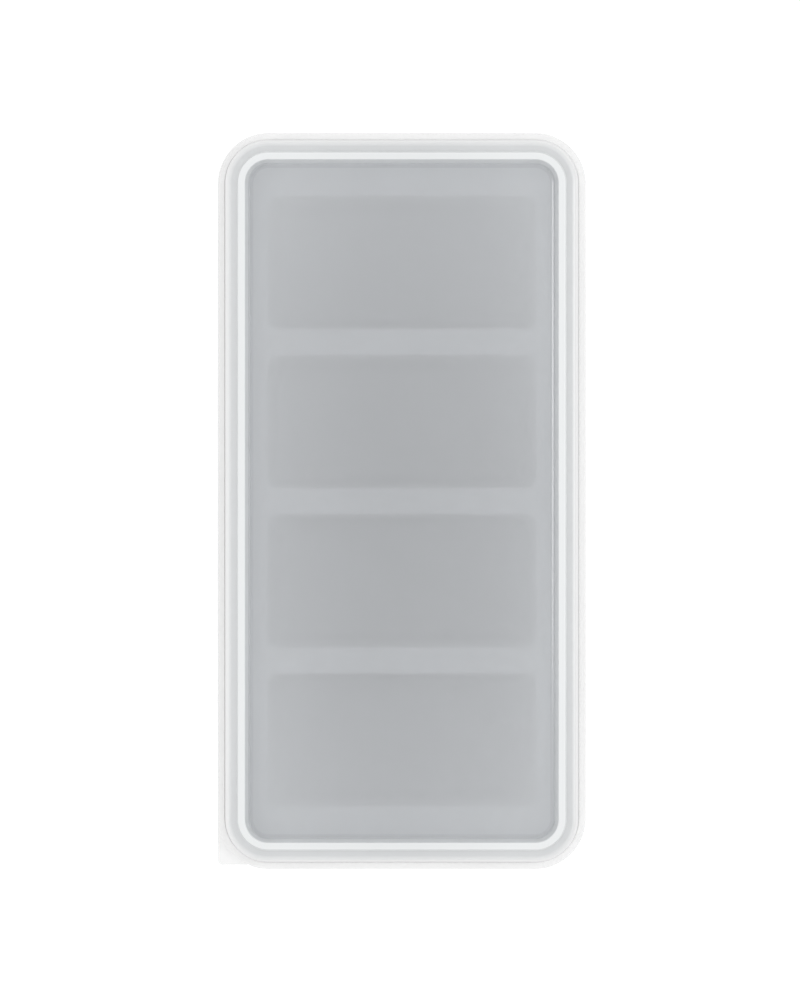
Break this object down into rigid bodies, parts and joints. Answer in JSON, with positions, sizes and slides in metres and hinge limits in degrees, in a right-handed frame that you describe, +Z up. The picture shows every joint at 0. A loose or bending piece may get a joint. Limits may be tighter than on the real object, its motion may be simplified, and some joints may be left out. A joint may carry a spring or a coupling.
{
  "type": "baby food freezer tray",
  "caption": "Oblong soft silicone freezer tray with deep rectangular pods in a row, a wire-stiffened rim and a frosted push-fit lid with a corner pull tab.",
  "frame": {"origin": "bottom centre of the bounding box, in the plane that the pods stand on", "axes": "+Z up through the lid, +Y along the row of pods, +X across it; the lid's pull tab is at the -X -Y corner"},
  "size_m": [0.1364, 0.273, 0.0588],
  "materials": {
    "silicone": "matt moulded silicone, cool mid grey",
    "wire_steel": "drawn stainless steel wire",
    "lid_plastic": "frosted translucent polypropylene"
  },
  "bodies": {
    "tray": {"silicone_tray": "silicone", "rim_wire": "wire_steel"},
    "lid": {"lid": "lid_plastic"}
  },
  "joints": [
    {"name": "lid_lift", "type": "slide", "parent": "tray", "child": "lid", "axis": [0, 0, 1], "range_m": [0, 0.1]}
  ]
}
